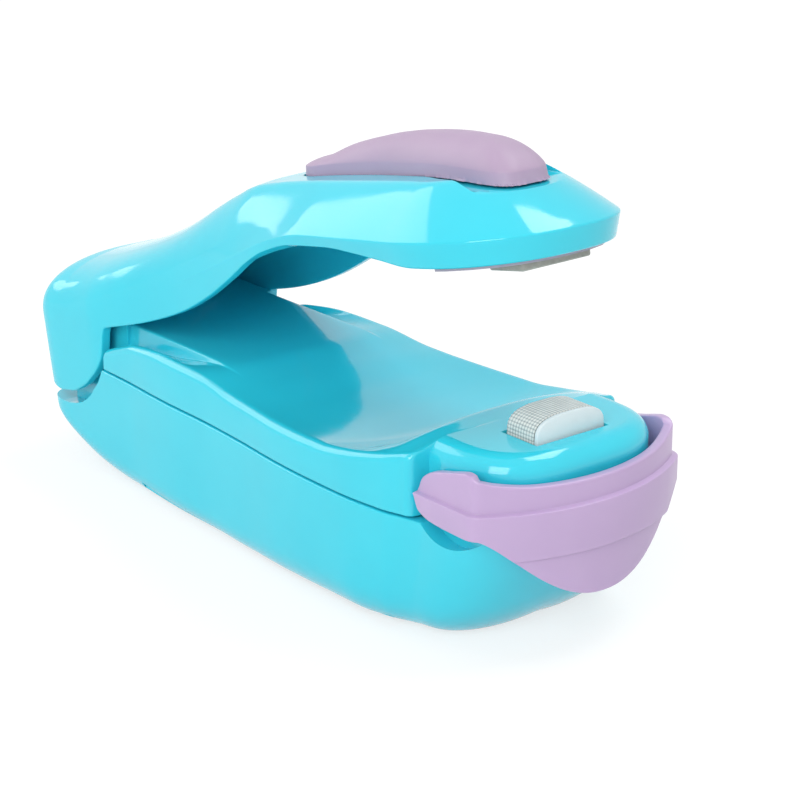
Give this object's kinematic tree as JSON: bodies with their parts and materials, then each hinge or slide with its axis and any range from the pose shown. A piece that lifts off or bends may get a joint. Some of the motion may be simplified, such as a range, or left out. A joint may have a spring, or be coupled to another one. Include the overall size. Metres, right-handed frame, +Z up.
{
  "type": "mini bag sealer",
  "caption": "Pocket heat sealer for plastic bags: a hinged arm with a thumb pad closes onto a heated strip at the nose of a battery case, and a flip guard locks it.",
  "frame": {"origin": "bottom centre of the bounding box at rest, on the plane it stands on", "axes": "+X towards the nose with the heater and the guard, +Y to the left seen from the tail, +Z up"},
  "size_m": [0.1035, 0.037, 0.0586],
  "materials": {
    "shell_plastic": "glossy cyan injection-moulded plastic",
    "lilac_plastic": "satin lilac injection-moulded plastic",
    "carrier_plastic": "matt grey moulded plastic",
    "heater_body": "white heat-resistant plastic",
    "cloth": "coated woven glass cloth",
    "silicone": "matt grey silicone rubber",
    "steel": "plain steel",
    "contact_brass": "stamped spring brass",
    "cell_wrap": "printed film sleeve, left plain",
    "lead_sleeve": "soft PVC sleeve"
  },
  "bodies": {
    "base": {"lower_shell": "shell_plastic", "deck_shell": "shell_plastic", "hinge_pin": "steel", "arm_spring": "steel", "battery_cell_1": "cell_wrap", "battery_cell_2": "cell_wrap", "contact_bridge": "contact_brass", "contact_plus": "contact_brass", "contact_minus": "contact_brass", "contact_spring_1": "steel", "contact_spring_2": "steel", "case_screw_1": "steel", "case_screw_2": "steel", "case_screw_3": "steel", "case_screw_4": "steel", "switch_contact_fixed_1": "contact_brass", "switch_contact_fixed_2": "contact_brass", "heater_spring_1": "steel", "heater_spring_2": "steel", "lead_battery": "lead_sleeve", "lead_heater": "lead_sleeve"},
    "arm": {"arm_shell": "shell_plastic", "thumb_pad": "lilac_plastic", "pad_carrier": "carrier_plastic", "pressure_pad": "silicone", "pad_screw_1": "steel", "pad_screw_2": "steel"},
    "guard": {"lock_guard": "lilac_plastic"},
    "carrier": {"heater_carrier": "carrier_plastic", "switch_contact_moving": "contact_brass"},
    "heater": {"heater_block": "heater_body", "heating_ribbon": "steel", "glass_cloth": "cloth"},
    "door": {"battery_door": "shell_plastic"}
  },
  "joints": [
    {"name": "arm_hinge", "type": "hinge", "parent": "base", "child": "arm", "pos_m": [-0.04125, 0, 0.0188], "axis": [0, 1, 0], "range_deg": [0, 11.2], "stiffness_Nm_per_rad": 0.1, "springref_deg": -20.05, "deforming": ["arm_spring"]},
    {"name": "guard_hinge", "type": "hinge", "parent": "base", "child": "guard", "pos_m": [0.04085, 0, 0.0209], "axis": [0, 1, 0], "range_deg": [-90, 0]},
    {"name": "heater_press", "type": "slide", "parent": "base", "child": "carrier", "axis": [0, 0, -1], "range_m": [0, 0.0012], "stiffness_N_per_m": 1000, "springref_m": -0.002, "deforming": ["heater_spring_1", "heater_spring_2"]},
    {"name": "heater_rock", "type": "hinge", "parent": "carrier", "child": "heater", "pos_m": [0.04195, 0, 0.0185], "axis": [1, 0, 0], "range_deg": [-2, 2], "stiffness_Nm_per_rad": 0.016},
    {"name": "battery_door_hinge", "type": "hinge", "parent": "base", "child": "door", "pos_m": [-0.02395, 0, 0.0006], "axis": [0, 1, 0], "range_deg": [0, 70]}
  ]
}
